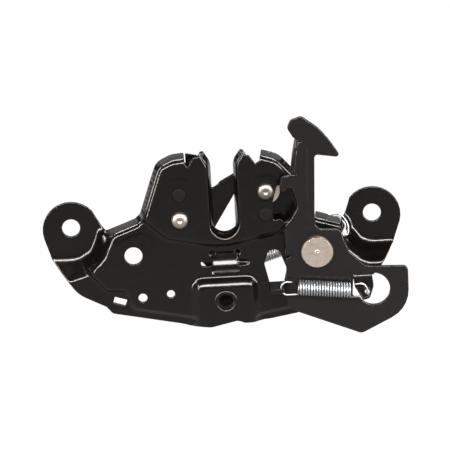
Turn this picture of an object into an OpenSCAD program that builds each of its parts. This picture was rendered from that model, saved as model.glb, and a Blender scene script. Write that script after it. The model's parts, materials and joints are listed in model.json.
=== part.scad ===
// Bonnet latch: pressed base plate, spring loaded fork and pawl, and a safety catch lever.
// X points right, Z up, the front faces -Y. Y = 0 is the mounting plane behind the two ears.
// The origin is midway between the ear bolt holes. All sizes are in millimetres.

/* [Mounting] */
// Distance between the two ear bolt holes
ear_pitch = 151; // [147:0.5:155]
// Ear bolt holes, clearance for M8
ear_hole_d = 9; // [8.4:0.1:10]
// Radius of the rounded ears
ear_r = 14.3; // [13.5:0.1:15]
// Third bolt hole in the main field
side_hole_d = 9; // [8.4:0.1:10]
// Minor diameter of the thread in the weld nut
nut_thread_d = 8.4; // [8:0.1:8.8]
// Outer diameter of the round weld nut
nut_d = 14; // [13:0.1:15]
// Height of the weld nut behind the sheet, without its closed end
nut_h = 4.8; // [4:0.1:5]

/* [Pressed sheet] */
// Sheet thickness of the base plate
sheet_t = 2; // [1.6:0.1:2.2]
// Front face of the main field ahead of the mounting plane
main_front = 12; // [11.5:0.1:13]
// How far the upper field stands ahead of the main field
raised_by = 3; // [2.5:0.1:3.5]
// How far the lower edge strip lies behind the main field
strip_back = 3; // [2:0.1:3.5]
// How far the nut platform stands ahead of the main field
platform_by = 3; // [2.5:0.1:3.5]
// Inside radius of the flange bends
bend_r = 0.8; // [0.5:0.1:1]
// Depth of the outer flanges behind the field they border
flange_depth = 8; // [6:0.1:8.5]
// Outward lean of the outer flanges, degrees
flange_draft = 14; // [8:1:18]

/* [Striker slot] */
// Clear width of the slot at its round lower end
slot_w = 10.6; // [10.2:0.1:11]
// Sideways place of the slot centre
slot_x = 1.5; // [1.2:0.1:1.8]
// Height of the lower end of the slot
slot_bottom = -4; // [-4.4:0.1:-3.6]
// Diameter of the striker bar that the fork takes
striker_d = 9; // [8.5:0.1:9.4]

/* [Fork and pawl] */
// Sheet thickness of the fork and the pawl
fork_t = 3.5; // [3:0.1:3.7]
// Thickness of the back plate
back_t = 2; // [1.5:0.1:2]
// Outer diameter of the sleeves that the fork and the pawl turn on
bush_d = 9; // [8.6:0.1:9.6]
// Shank diameter of the two small pivot rivets
rivet_d = 6; // [5.5:0.1:6.5]
// Head diameter of the two small pivot rivets
rivet_head_d = 8.4; // [8:0.1:10]
// Reach of the fork jaw from its pivot
jaw_reach = 37; // [36.4:0.1:37.2]

/* [Safety lever] */
// Sheet thickness of the lever
lever_t = 2.5; // [2:0.1:2.8]
// Space between the main field and the back of the lever
lever_space = 6.5; // [6.4:0.1:7.5]
// Top of the catch hook above the ear bolt holes
hook_top = 56.4; // [52:0.2:60]
// Outer diameter of the lever sleeve
lever_bush_d = 11; // [10.5:0.1:12]
// Shank diameter of the lever rivet
lever_rivet_d = 7; // [6.5:0.1:7.5]
// Head diameter of the lever rivet
lever_head_d = 16; // [15:0.1:17]
// Height of the lever rivet head
lever_head_h = 1.8; // [1.4:0.1:2.2]

/* [Springs] */
// Outer diameter of the front spring
lever_spring_d = 8; // [7:0.1:8.2]
// Wire of the front spring
lever_wire = 1.3; // [1:0.1:1.4]
// Outer diameter of the spring behind the plate
fork_spring_d = 7.4; // [6.5:0.1:7.4]
// Wire of the spring behind the plate
fork_wire = 1.3; // [1:0.1:1.4]
// Wire of the pawl torsion spring
pawl_wire = 0.9; // [0.7:0.1:1]

/* [Fits] */
// Radial running clearance on the sleeves
run_gap = 0.05; // [0.03:0.01:0.09]
// Side clearance between parts that move past each other
face_gap = 0.3; // [0.2:0.05:0.4]

/* [Hidden] */
$fn = 48;
black = [0.12, 0.12, 0.12];
silver = [0.78, 0.76, 0.72];
zinc = [0.7, 0.7, 0.72];

// Pivot places
fork_at = [-20.8, 4.6];
pawl_at = [22.8, 17.3];
lever_at = [47, -13.6];
nut_at = [0.2, -38.9];
side_hole_at = [-44.9, -13.4];

// Front faces of the pressed levels, and the stack behind the raised field
main_y = -main_front;
raised_y = main_y - raised_by;
strip_y = main_y + strip_back;
platform_y = main_y - platform_by;
ear_y = -sheet_t;
stack_front = raised_y + sheet_t;
back_y = -back_t - 1.9;
fork_y = back_y - face_gap - fork_t;
slot_end_y = fork_y - face_gap;
lever_y = main_y - lever_space - lever_t;
steps = 3;
pad_h = 0.35;
pilot_d = nut_thread_d + 2.4;

// Turns a list of corners [x, z, radius] into points, with an arc at each rounded corner
function unit(v) = v / norm(v);
function turned(a) = [cos(a), sin(a)];
function corner(a, b, c, r, n = steps) = r <= 0 ? [b] :
  let (u = unit(a - b), v = unit(c - b), h = acos(u * v) / 2, m = b + unit(u + v) * r / sin(h))
  let (s = b + u * r / tan(h) - m, e = b + v * r / tan(h) - m)
  let (a0 = atan2(s[1], s[0]), sweep = (180 - 2 * h) * sign(cross(s, e)))
  [for (i = [0:n]) m + r * turned(a0 + sweep * i / n)];
function xz(p) = [p[0], p[1]];
function rad(p) = len(p) > 2 ? p[2] : 0;
function open_path(c) = let (n = len(c)) [for (i = [0:n - 1])
  each i == 0 || i == n - 1 ? [xz(c[i])] : corner(xz(c[i - 1]), xz(c[i]), xz(c[i + 1]), rad(c[i]))];
function closed_path(c) = let (n = len(c)) [for (i = [0:n - 1])
  each corner(xz(c[(i + n - 1) % n]), xz(c[i]), xz(c[(i + 1) % n]), rad(c[i]), 5)];
function at_level(p, y) = [for (q = p) [q[0], q[1], y]];
function reversed(p) = [for (i = [len(p) - 1:-1:0]) p[i]];
function flat(p) = [for (q = p) xz(q)];

// A plate from y to y + t, its outline given in X and Z
module plate(y, t) {
  translate([0, y + t, 0])
    rotate([90, 0, 0])
      linear_extrude(t)
        children();
}

// A cylinder along Y from y0 to y1
module pin(at, d, y0, y1) {
  translate([at[0], y1, at[1]])
    rotate([90, 0, 0])
      cylinder(d = d, h = y1 - y0);
}

// Closed solid through stations, each a list of [outer, inner] point pairs
module swept_sheet(st) {
  q = len(st[0]);
  n = len(st);
  pts = [for (s = st) each [for (p = s) each [p[0], p[1]]]];
  o = function (i, j) (i * q + j) * 2;
  faces = [
    for (i = [0:n - 2]) each [
      for (j = [0:q - 2]) each [
        [o(i, j), o(i + 1, j), o(i + 1, j + 1)],
        [o(i, j), o(i + 1, j + 1), o(i, j + 1)],
        [o(i, j) + 1, o(i + 1, j + 1) + 1, o(i + 1, j) + 1],
        [o(i, j) + 1, o(i, j + 1) + 1, o(i + 1, j + 1) + 1]],
      [o(i, 0), o(i, 0) + 1, o(i + 1, 0) + 1],
      [o(i, 0), o(i + 1, 0) + 1, o(i + 1, 0)],
      [o(i, q - 1), o(i + 1, q - 1) + 1, o(i, q - 1) + 1],
      [o(i, q - 1), o(i + 1, q - 1), o(i + 1, q - 1) + 1]],
    for (j = [0:q - 2]) each [
      [o(0, j), o(0, j + 1), o(0, j + 1) + 1],
      [o(0, j), o(0, j + 1) + 1, o(0, j) + 1],
      [o(n - 1, j), o(n - 1, j + 1) + 1, o(n - 1, j + 1)],
      [o(n - 1, j), o(n - 1, j) + 1, o(n - 1, j + 1) + 1]]];
  solid_faces(pts, faces);
}

// Polyhedron whose faces are turned outward whichever way the path ran
module solid_faces(pts, faces) {
  vol = [for (f = faces) cross(pts[f[0]], pts[f[1]]) * pts[f[2]]] * [for (f = faces) 1];
  polyhedron(pts, vol < 0 ? faces : [for (f = faces) [f[0], f[2], f[1]]]);
}

// Pressed step between a rear line a and a front line b, stations [x, z, y]. It runs into both fields,
// and lies sunk below their faces by a hair
module step_wall(a, b, t, sunk) {
  swept_sheet([for (i = [0:len(a) - 1])
    let (n = 0.4 * unit(xz(b[i]) - xz(a[i])))
    let (f = [a[i][0], a[i][2], a[i][1]], g = [b[i][0], b[i][2], b[i][1]], k = [n[0], 0, n[1]])
    [for (q = [[f - k, 0.3], [f, sunk], [g, sunk], [g + k, 0.3]])
      [q[0] + [0, q[1], 0], q[0] + [0, t - q[1], 0]]]]);
}

// Flange drawn back from a bend line, stations [x, z, y, depth]. Its start can be cut towards a point
module flange(p, side, t, r, lean, first = undef) {
  n = len(p);
  dir = [for (i = [0:n - 2]) unit(xz(p[i + 1]) - xz(p[i]))];
  nrm = [for (d = dir) side * [d[1], -d[0]]];
  mit = [for (i = [0:n - 1])
    let (u = nrm[max(i - 1, 0)], v = nrm[min(i, n - 2)], to = i == 0 ? first : undef)
    let (m = is_undef(to) ? unit(u + v) : unit(to - xz(p[i]))) m / max(m * u, 0.5)];
  bend = 90 - lean;
  swept_sheet([for (i = [0:n - 1])
    let (leg = (p[i][3] - (r + t) * (1 - cos(bend))) / sin(bend))
    [for (j = [-1:steps + 1])
      let (a = max(0, min(j, steps)) * bend / steps, l = j > steps ? leg : 0, sunk = j < 0 ? 0.3 : 0.02)
      [for (q = [r + t - sunk, r + sunk])
        let (s = j < 0 ? -0.4 : q * sin(a) + l * cos(bend), y = p[i][2] + r + t - q * cos(a) + l * sin(bend))
        [p[i][0] + mit[i][0] * s, y, p[i][1] + mit[i][1] * s]]]]);
}

// Round wire along a line of points
module wire(p, d, k = 6) {
  n = len(p);
  t = [for (i = [0:n - 1]) unit(p[min(i + 1, n - 1)] - p[max(i - 1, 0)])];
  v0 = abs(t[0][2]) < 0.9 ? cross(t[0], [0, 0, 1]) : cross(t[0], [1, 0, 0]);
  across = [for (i = 0, v = unit(v0); i < n; i = i + 1, v = i < n ? unit(v - t[i] * (v * t[i])) : v) v];
  pts = [for (i = [0:n - 1]) let (u = unit(across[i] - t[i] * (across[i] * t[i])), w = cross(t[i], u))
    each [for (j = [0:k - 1]) p[i] + d / 2 * (cos(360 * j / k) * u + sin(360 * j / k) * w)]];
  faces = [
    for (i = [0:n - 2]) each [for (j = [0:k - 1]) let (a = i * k + j, b = i * k + (j + 1) % k) each [
      [a, b, b + k], [a, b + k, a + k]]],
    for (j = [1:k - 2]) each [[0, j + 1, j], [(n - 1) * k, (n - 1) * k + j, (n - 1) * k + j + 1]]];
  solid_faces(pts, faces);
}

// Coil points from a to b round the straight line between them
function coil(a, b, r, turns, start = 0, per = 10) = let (u = unit(b - a))
  let (v = unit(cross(u, [0, 1, 0])), w = cross(u, v), n = turns * per)
  [for (i = [0:n]) let (t = start + 360 * i / per) a + (b - a) * i / n + r * (cos(t) * v + sin(t) * w)];

// Bend and edge lines of the base plate. Each pair of step lines has the same corners, front and rear
ear_x = ear_pitch / 2;
ear_tangent = 40;
ear_l = concat(
  open_path([[14.9, 0.8], [13, -8, 6], [8, -15.5, 6], [3.5, -15.5]]),
  [[1.5, -15.5], [-10.5, -15.5]]);
ear_l_rear = at_level([for (p = ear_l) [p[0] - ear_x, p[1]]], ear_y);
ear_l_front = concat(
  at_level(open_path([[-54.5, -4.5], [-58.6, -7.5, 5], [-60.3, -15, 8], [-66, -21.5]]), main_y),
  at_level([[-67.5, -23.5], [-78, -26.5]], strip_y));
ear_r_rear = at_level([for (p = concat(
  open_path([[-13.6, 0], [-12.1, -6, 6], [-6.9, -12.6, 8], [-2.3, -15.3]]),
  [[1.5, -15.5], [10, -15.5]])) [p[0] + ear_x, p[1]]], ear_y);
ear_r_front = at_level(concat(
  open_path([[57, -4.3], [61.2, -7.4, 4], [62.6, -15.4, 8], [68, -20.4]]),
  [[72.5, -22.5], [80, -22.5]]), main_y);

strip_front = at_level(open_path(
  [[-66, -21.5], [-58.5, -30.2, 4], [-48.5, -30.8, 3], [-46, -40, 3.5], [-17, -46]]), main_y);
strip_rear = at_level(open_path(
  [[-67.5, -23.5], [-59.4, -32.6, 5], [-50.6, -33, 2], [-48, -42.4, 5], [-17.4, -48.4]]), strip_y);
strip2_front = at_level([[17, -46], [30, -43.8], [40, -41.5]], main_y);
strip2_rear = at_level([[17.4, -48.4], [30.6, -46], [41, -43.9]], strip_y);

pad_rear = concat(
  at_level([[-18.5, -51.8], [-17.4, -48.4]], strip_y),
  at_level(open_path([[-17, -46], [-16.8, -26.8, 5], [16.8, -26.8, 5], [17, -46]]), main_y),
  at_level([[17.4, -48.4], [18, -50.8]], strip_y));
pad_front = at_level(concat(
  [[-13.8, -51.2], [-13.6, -48.4]],
  open_path([[-13.4, -46], [-13.2, -29.6, 2.5], [13.2, -29.6, 2.5], [13.4, -46]]),
  [[13.6, -48.4], [13.8, -50.3]]), platform_y);

pad_edge = open_path([[13.8, -50.3], [9.4, -50.4, 3], [5.7, -49, 4], [-7.8, -51.9, 6], [-13.8, -51.2]]);

raised_front = at_level(open_path([[-36.9, 5.3], [-27.4, -3.6, 4], [-0.4, -9.6, 45], [27, -3.4, 20],
  [41, 3]]), raised_y);
raised_rear = at_level(open_path([[-38.5, 2.8], [-28.3, -6.4, 5], [-0.4, -12.4, 45], [28.2, -5.9, 20],
  [43.5, 0.3]]), main_y);

// Flange lines: left side from the ear to the notch, right side, and the top of the main field
left_low = open_path([[-54.5, -4.5], [-47, -1.8, 8], [-40.8, 0.6, 4], [-38.5, 2.8]]);
left_high = open_path([[-36.9, 5.3], [-30.9, 22.5, 20], [-28, 30.5, 5], [-22.5, 32.9, 5], [-17, 33.4]]);
right_high = open_path([[20.5, 33.2], [27.5, 31, 7], [35, 22.5, 8], [38.5, 13]]);
right_low = [[46.2, -0.9], [52.2, -2.8]];
slot_lean = 4;
slot_bend = bend_r + sheet_t;
slot_leg = (slot_end_y - raised_y - slot_bend * (1 - sin(slot_lean))) / cos(slot_lean);
slot_half = slot_w / 2 + slot_bend * cos(slot_lean) + slot_leg * sin(slot_lean);
slot_mid = slot_bottom + slot_w / 2;
function slot_depth(p) = let (k = max(0, min(1, (p[1] - slot_bottom) / (slot_w - 2))))
  (slot_end_y - raised_y) * (0.55 + 0.45 * k * k);
slot_arc = [for (i = [0:10]) [slot_x, slot_mid] + slot_half * turned(180 + 18 * i)];
slot_line = concat(
  open_path([[slot_x - 11.7, 36.6], [slot_x - 8.6, 31.5, 5], [slot_x - slot_half, slot_mid + 4]]),
  slot_arc,
  open_path([[slot_x + slot_half, slot_mid + 4], [slot_x + 8.6, 31.8, 5], [slot_x + 12, 36.4]]));

ear_edge = [for (a = [ear_tangent:12:196]) ear_r * turned(a) - [0, 1]];
tab_x = 22.4;
tab_top = -30.2;
keyhole = [[20.3, -21, 3], [22.5, -14.6, 3], [27.5, -13, 3], [31.4, -24, 4], [29.8, tab_top - 0.2, 0.6],
  [tab_x, tab_top - 0.2, 0.6]];
anchor_at = [62, -7.4];
pawl_gap = [[28.4, 19.8, 2], [26.1, 12, 3], [26, 1.8, 1], [29.4, 2.6, 1], [31.6, 0.4, 1], [38.5, 4.5, 2],
  [33.5, 21.5, 2]];

module base_plate() {
  color(black) {
    difference() {
      union() {
        plate(ear_y, sheet_t)
          polygon(concat([for (p = ear_edge) p + [-ear_x, 0]], reversed(flat(ear_l_rear))));
        plate(ear_y, sheet_t)
          polygon(concat([for (p = ear_edge) [ear_x - p[0], p[1]]], reversed(flat(ear_r_rear))));
        plate(main_y, sheet_t)
          polygon(main_outline());
        plate(raised_y, sheet_t)
          polygon(raised_outline());
        plate(strip_y, sheet_t)
          polygon(distinct(concat(flat(strip_rear), open_path([xz(pad_rear[0]), [-23.5, -50.4],
            [-56.8, -43.6, 2.5], [-59.8, -40, 0.8], [-73.5, -33, 16], [-78, -26.5]]))));
        plate(strip_y, sheet_t)
          polygon(concat(flat(strip2_rear), [[42.2, -47], [22, -50.4]], flat([pad_rear[len(pad_rear) - 1]])));
        plate(platform_y, sheet_t)
          polygon(distinct(concat(flat(pad_front), pad_edge)));
        step_wall(ear_l_rear, ear_l_front, sheet_t, 0.03);
        step_wall(ear_r_rear, ear_r_front, sheet_t, 0.03);
        step_wall(strip_rear, strip_front, sheet_t, 0.06);
        step_wall(strip2_rear, strip2_front, sheet_t, 0.06);
        step_wall(pad_rear, pad_front, sheet_t, 0.04);
        step_wall(raised_rear, raised_front, sheet_t, 0.04);
        flange(concat([for (p = left_low) [p[0], p[1], main_y, flange_depth]],
          [for (p = left_high) [p[0], p[1], raised_y, flange_depth]]), -1, sheet_t, bend_r, flange_draft,
          first = xz(ear_l_rear[0]) + [-1.4, -1.6]);
        flange([for (p = right_high) [p[0], p[1], raised_y, flange_depth]], -1, sheet_t, bend_r,
          flange_draft);
        flange([for (p = right_low) [p[0], p[1], main_y, flange_depth]], -1, sheet_t, bend_r, flange_draft);
        flange([for (p = slot_line) [p[0], p[1], raised_y, slot_depth(p)]], -1, sheet_t, bend_r, slot_lean);
        dot([-20.6, 17.6]);
        dot([22.2, 5.4]);
        plate(main_y - pad_h, 0.5 + pad_h)
          translate(side_hole_at)
            intersection() {
              circle(12.6);
              rotate(20)
                translate([-20, -30])
                  square([40, 39.6]);
            }
        pivot_pads();
      }
      for (s = [-1, 1])
        pin([s * ear_x, 0], ear_hole_d, ear_y - 1, 1);
      pin(side_hole_at, side_hole_d, main_y - 2, main_y + sheet_t + 1);
      pin([-41.3, -35.5], 4.5, main_y - 1, main_y + sheet_t + 1);
      pin([-27.2, -34.2], 4, main_y - 1, main_y + sheet_t + 1);
      pin(nut_at, pilot_d + 0.2, platform_y - 1, platform_y + sheet_t + 1);
      pin(fork_at, rivet_d, raised_y - 1, stack_front + 1);
      pin(pawl_at, rivet_d, raised_y - 1, stack_front + 1);
      pin(lever_at, lever_rivet_d, main_y - 1, main_y + sheet_t + 1);
      plate(strip_y - 1, sheet_t + 2)
        translate([-52.9, -37.4])
          rotate(-18)
            square([6.2, 3.2], center = true);
      plate(main_y - 1, sheet_t + 2)
        polygon(closed_path([[-6, -13.6, 3], [7.7, -13.6, 3], [7.7, -25.4, 1], [-6, -25.4, 1]]));
      plate(main_y - 1, sheet_t + 2)
        polygon(closed_path([[-11.4, -18, 1.2], [13.2, -18, 1.2], [13.2, -20.8, 1.2], [-11.4, -20.8, 1.2]]));
      plate(main_y - 1, sheet_t + 2)
        polygon(closed_path(keyhole));
      plate(raised_y - 1, sheet_t + 2)
        polygon(closed_path(pawl_gap));
      pin(anchor_at, fork_wire + 2.4, main_y - 1, -3.5);
      dot_back([-20.6, 17.6]);
      dot_back([22.2, 5.4]);
    }
    window_tab();
    spring_tab();
  }
}

// Low embossed pads round the pivots, with room for the rivet heads
module pivot_pads() {
  plate(raised_y - pad_h, 0.5 + pad_h)
    difference() {
      union() {
        polygon(closed_path([[-27.8, -1, 3], [-27.8, 25.9, 6], [-14.6, 25.9, 6], [-9.4, 4, 3],
          [-14, -2.4, 3]]));
        polygon(closed_path([[15, 3.5, 3], [16.4, 25.6, 5], [29.4, 25.6, 5], [28, 3, 3]]));
      }
      for (at = [fork_at, pawl_at])
        translate(at)
          circle(d = rivet_head_d + 1);
    }
}

// Half sheared dot that locates the sheets in the press
module dot(at) {
  pin(at, 6.4, raised_y - 0.9, raised_y + sheet_t);
}

module dot_back(at) {
  pin(at, 6, raised_y + sheet_t - 0.9, raised_y + sheet_t + 1);
}

// Tab in the window, stepped back twice
module window_tab() {
  low = -25.9;
  s = (main_front + slot_end_y - sheet_t) / 2 + 0.06;
  translate([-5.5, 0, 0])
    rotate([90, 0, 90])
      linear_extrude(12.7)
        polygon([[main_y, low], [main_y, low + 1.2], [main_y + s, low + 2.4], [main_y + s, low + 6],
          [main_y + 2 * s, low + 7.2], [main_y + 2 * s, low + 11.8], [main_y + 2 * s + sheet_t, low + 11.8],
          [main_y + 2 * s + sheet_t, low + 6.4], [main_y + s + sheet_t, low + 5.2],
          [main_y + s + sheet_t, low + 1.6], [main_y + sheet_t, low + 0.4], [main_y + sheet_t, low]]);
}

// Tab below the keyhole, bent straight forward for the left hook of the front spring
module spring_tab() {
  difference() {
    translate([tab_x, spring_y - 2.8, tab_top - sheet_t])
      cube([7.8, main_y + sheet_t - spring_y + 2.8, sheet_t]);
    translate([hook_l[0] - hook_l[2], spring_y, tab_top - sheet_t - 1])
      cylinder(d = lever_wire + 1.3, h = sheet_t + 2);
  }
}

function distinct(p) = let (n = len(p)) [for (i = [0:n - 1]) if (norm(p[i] - p[(i + 1) % n]) > 0.01) p[i]];
function part_of(p, a, b) = [for (i = [a:b]) xz(p[i])];
function main_outline() = distinct(concat(
  part_of(ear_l_front, 0, len(ear_l_front) - 3),
  flat(strip_front),
  part_of(pad_rear, 2, len(pad_rear) - 3),
  flat(strip2_front),
  [[47, -39.5], [64, -31.5], [76, -28.5], [78, -27]],
  reversed(flat(ear_r_front)),
  reversed(right_low),
  reversed(flat(raised_rear)),
  reversed(left_low)));
function raised_outline() = distinct(concat(
  flat(raised_front),
  reversed(right_high),
  [[18.3, 31.6], [15.4, 36]],
  reversed(slot_line),
  [[-12.6, 36.2], [-15.4, 31.6]],
  reversed(left_high)));

module back_plate() {
  color(black)
    plate(back_y, back_t)
      difference() {
        polygon(closed_path([[-25, -9.5, 5], [-30, 4, 6], [-27, 27, 6], [-16.5, 31], [-16.5, 35.8, 0.4],
          [-10.6, 34.5, 0.8], [-8, 30, 2], [10, 29, 2], [15, 29, 2], [27, 27.5, 5], [31, 14, 5],
          [24, -9.5, 6]]));
        translate([slot_x, slot_mid])
          circle(slot_w / 2 + 1.5);
        translate([slot_x - slot_w / 2 - 1.5, slot_mid])
          square([slot_w + 3, 50]);
        translate(fork_at)
          circle(d = rivet_d);
        translate(pawl_at)
          circle(d = rivet_d);
      }
}

// Fork, drawn open. It closes by turning fork_turn clockwise, seen from the front
fork_turn = 63;
seat_at = [slot_x, slot_mid - 0.8] - fork_at;
mouth_angle = 28.7;
mouth_r = striker_d / 2 + 0.4;
mouth_at = fork_at + norm(seat_at) * turned(atan2(seat_at[1], seat_at[0]) + fork_turn);
tail_at = fork_at + 36 * turned(-55);
bore_d = bush_d + 2 * run_gap;

module latch_fork() {
  color(black)
    plate(fork_y, fork_t)
      difference() {
        union() {
          intersection() {
            translate(fork_at)
              circle(jaw_reach);
            polygon(closed_path([[-8.6, 33, 2.5], [-5.4, 29.8, 1], [2, 25], [9.6, 28], [12.6, 23.7],
              [-6.6, -6.8], [-24, -4, 5], [-30.2, 5, 8], [-27, 17, 8], [-17, 32, 6]]));
          }
          translate(fork_at)
            circle(9.4);
          polygon([tail_at + 4.3 * turned(35), fork_at + 7 * turned(35), fork_at + 9 * turned(-145),
            tail_at + 4.3 * turned(-145)]);
          translate(tail_at)
            circle(4.3);
        }
        translate(mouth_at) {
          circle(mouth_r);
          rotate(mouth_angle)
            translate([2.2, 0])
              circle(mouth_r + 0.8);
          rotate(mouth_angle)
            translate([0, -mouth_r])
              square([40, 2 * mouth_r]);
        }
        translate(fork_at)
          circle(d = bore_d);
        translate(tail_at)
          circle(d = 3);
      }
}

// Pawl, drawn held aside by the open fork. Its tooth drops over the jaw tip when the fork is shut
module pawl() {
  color(black)
    plate(fork_y, fork_t)
      difference() {
        union() {
          translate(pawl_at)
            circle(6.5);
          polygon(closed_path([[17, 15], [17.2, -2, 4], [13.1, -11.4, 0.6], [17, -13.4, 0.8], [22, -11.4, 3],
            [25.4, -1, 6], [33, -1.4, 3], [38.4, 4, 3], [36, 14, 4], [32, 22.6, 4], [24, 23]]));
        }
        translate(pawl_at)
          circle(d = bore_d);
      }
}

module ring(at, d, hole, y0, y1) {
  difference() {
    pin(at, d, y0, y1);
    pin(at, hole, y0 - 1, y1 + 1);
  }
}

module fork_bush() {
  color(silver)
    ring(fork_at, bush_d, rivet_d, stack_front, back_y);
}

module pawl_bush() {
  color(silver)
    ring(pawl_at, bush_d, rivet_d, stack_front, back_y);
}

module fork_spacer() {
  color(silver)
    ring(fork_at, bush_d + 6, bush_d, stack_front, slot_end_y);
}

pawl_spacer_y = stack_front + 2.2;

module pawl_spacer() {
  color(silver)
    ring(pawl_at, bush_d + 5.4, bush_d, stack_front, pawl_spacer_y);
}

// Rivet turned about its axis: domed head with a dimple, shank, and a flat closing head
module pivot_rivet(at) {
  r = rivet_head_d / 2;
  f = -raised_y;
  e = -(back_y + back_t);
  translate([at[0], 0, at[1]])
    rotate([90, 0, 0])
      rotate_extrude()
        polygon([[0, e - 1.5], [r - 0.4, e - 1.5], [r, e - 1], [r, e], [rivet_d / 2, e], [rivet_d / 2, f],
          [r, f], [r, f + 0.6], [0.9 * r, f + 1.2], [0.72 * r, f + 1.7], [0.5 * r, f + 2],
          [0.3 * r, f + 2.05], [0.16 * r, f + 1.8], [0, f + 1.7]]);
}

module fork_pivot_rivet() {
  color(silver)
    pivot_rivet(fork_at);
}

module pawl_pivot_rivet() {
  color(silver)
    pivot_rivet(pawl_at);
}

// Safety lever with its catch hook, the flanges on its left edge, and the spring hole
lever_back = lever_y + lever_t;
lever_bend = 0.8;
lever_flange = raised_y - pad_h - 0.8 - lever_y;
lever_edge = lever_bend + lever_t;
arm_line = [[35.6 + lever_edge, 26.8], [36.8 + lever_edge, 36], [38.3 + lever_edge, hook_top - 13.2]];
side_line = [[30.9 + lever_edge, -15.4], [30.3 + lever_edge, -1.6]];
hook_path = [[37.8, -11, 6], [34.8, -5.5, 2.5], [36.6, -1.8, 3], [42.2, 0, 2.5], [50.6, -6.5, 20],
  [55.6, -12.8, 20], [60.4, -20.6, 0.9], [58.8, -21.6, 0.8], [47.9, -19.9, 1.6]];
lever_outline = concat([for (p = hook_path) [p[0], hook_top + p[1], p[2]]],
  [[46.2, -2.2, 4], [58.6, -2.6, 3], [63, -15, 8], [71, -22.6, 8], [91.9, -23.4, 2.5],
  [91.6, -45.5, 16], [67.3, -57.2, 3.5], [36.5, -44.6, 4], [30.6, -41, 3], [31.2, -16.4, 1]],
  side_line,
  [[31, -0.4, 1], [38.2, 10.4, 7], [35, 20, 1], [30.6, 16.6, 1], [29.4, 21.5, 3], [30.4, 25.6, 2]],
  arm_line);

module safety_lever() {
  color(black) {
    difference() {
      union() {
        plate(lever_y, lever_t)
          polygon(closed_path(lever_outline));
        flange([for (p = arm_line) [p[0], p[1], lever_y, lever_flange]], -1, lever_t, lever_bend, 8);
        flange([for (p = side_line) [p[0], p[1], lever_y, lever_flange]], -1, lever_t, lever_bend, 8);
        bead();
      }
      pin(lever_at, lever_bush_d + 2 * run_gap, lever_y - 1, lever_back + 1);
      plate(lever_y - 1, lever_t + 2)
        union() {
          translate([74.2, -34.4])
            circle(8.2);
          polygon(closed_path([[64.4, -27.8, 0.6], [63.4, -38.4, 2], [74, -38.4], [74, -27.8]]));
        }
    }
    hook_tab();
  }
}

// Stiffening bead pressed forward along the arm
module bead() {
  hull() {
    translate([43.4, lever_y + 0.2, 38])
      rotate([90, 0, 0])
        cylinder(d1 = 4.6, d2 = 2.6, h = 1.2, $fn = 16);
    translate([40.6, lever_y + 0.2, -3])
      rotate([90, 0, 0])
        cylinder(d1 = 4.6, d2 = 2.6, h = 1.2, $fn = 16);
  }
}

// Tab at the spring hole, leaning forward for the right hook of the front spring
module hook_tab() {
  slope = 0.83;
  mid = hook_r[1];
  y_at = function (z, off) spring_y + off + slope * (z - mid);
  z_at = function (y, off) mid + (y - spring_y - off) / slope;
  difference() {
    intersection() {
      translate([65, 0, 0])
        rotate([90, 0, 90])
          linear_extrude(10.2)
            polygon([[y_at(mid - 3.5, -1.2), mid - 3.5], [y_at(mid - 3.5, 1.2), mid - 3.5],
              [lever_back, z_at(lever_back, 1.2)], [lever_back, mid + 7.6], [lever_y, mid + 7.6],
              [lever_y, z_at(lever_y, -1.2)]]);
      plate(lever_y - 20, 30)
        polygon(closed_path([[65.4, -25], [65.4, -31], [66.6, -37.4, 2], [73.6, -37.4, 3], [75, -31],
          [75, -25]]));
    }
    translate([hook_r[0] + hook_r[2], spring_y, mid - 4.5])
      cylinder(d = lever_wire + 1.5, h = 9);
  }
}

washer_h = 1;
collar_y = lever_back + face_gap + washer_h;

module lever_bush() {
  color(silver)
    difference() {
      union() {
        pin(lever_at, lever_bush_d, lever_y - face_gap, main_y);
        pin(lever_at, lever_bush_d + 6, collar_y, main_y);
      }
      pin(lever_at, lever_rivet_d, lever_y - 2, main_y + 1);
    }
}

module lever_washer() {
  color(silver)
    ring(lever_at, lever_bush_d + 9, lever_bush_d, collar_y - washer_h, collar_y);
}

module lever_pivot_rivet() {
  r = lever_head_d / 2;
  s = lever_rivet_d / 2;
  f = face_gap - lever_y;
  e = -main_y - sheet_t;
  color(silver)
    translate([lever_at[0], 0, lever_at[1]])
      rotate([90, 0, 0])
        rotate_extrude()
          polygon([[0, e - 1.7], [s + 1.8, e - 1.7], [s + 2.2, e - 1.3], [s + 2.2, e], [s, e], [s, f], [r, f],
            [r, f + lever_head_h - 0.5], [r - 0.5, f + lever_head_h], [1.5, f + lever_head_h],
            [1.1, f + lever_head_h + 0.15], [0, f + lever_head_h + 0.2]]);
}

module weld_nut() {
  color(zinc)
    difference() {
      union() {
        pin(nut_at, nut_d, platform_y + sheet_t, platform_y + sheet_t + nut_h + 1.2);
        pin(nut_at, pilot_d, platform_y - 0.3, platform_y + sheet_t + 1);
      }
      pin(nut_at, nut_thread_d, platform_y - 1, platform_y + sheet_t + nut_h);
    }
}

// Front extension spring from the keyhole tab to the lever tab
spring_y = lever_y - 0.5 - lever_spring_d / 2;
spring_r = (lever_spring_d - lever_wire) / 2;
spring_a = [37, spring_y, -31];
spring_b = [62.4, spring_y, -33.9];
spring_turns = floor(norm(spring_b - spring_a) / (lever_wire + 0.04));
hook_l = [31.2, spring_a[2], spring_r];
hook_r = [69, spring_b[2], spring_r];

// Open hook [x, z, radius] from its lower leg to its free end
function hook_line(h, way) = [for (i = [0:8])
  [h[0] + way * h[2] * sin(22.5 * i), spring_y, h[1] - h[2] * cos(22.5 * i)]];

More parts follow.
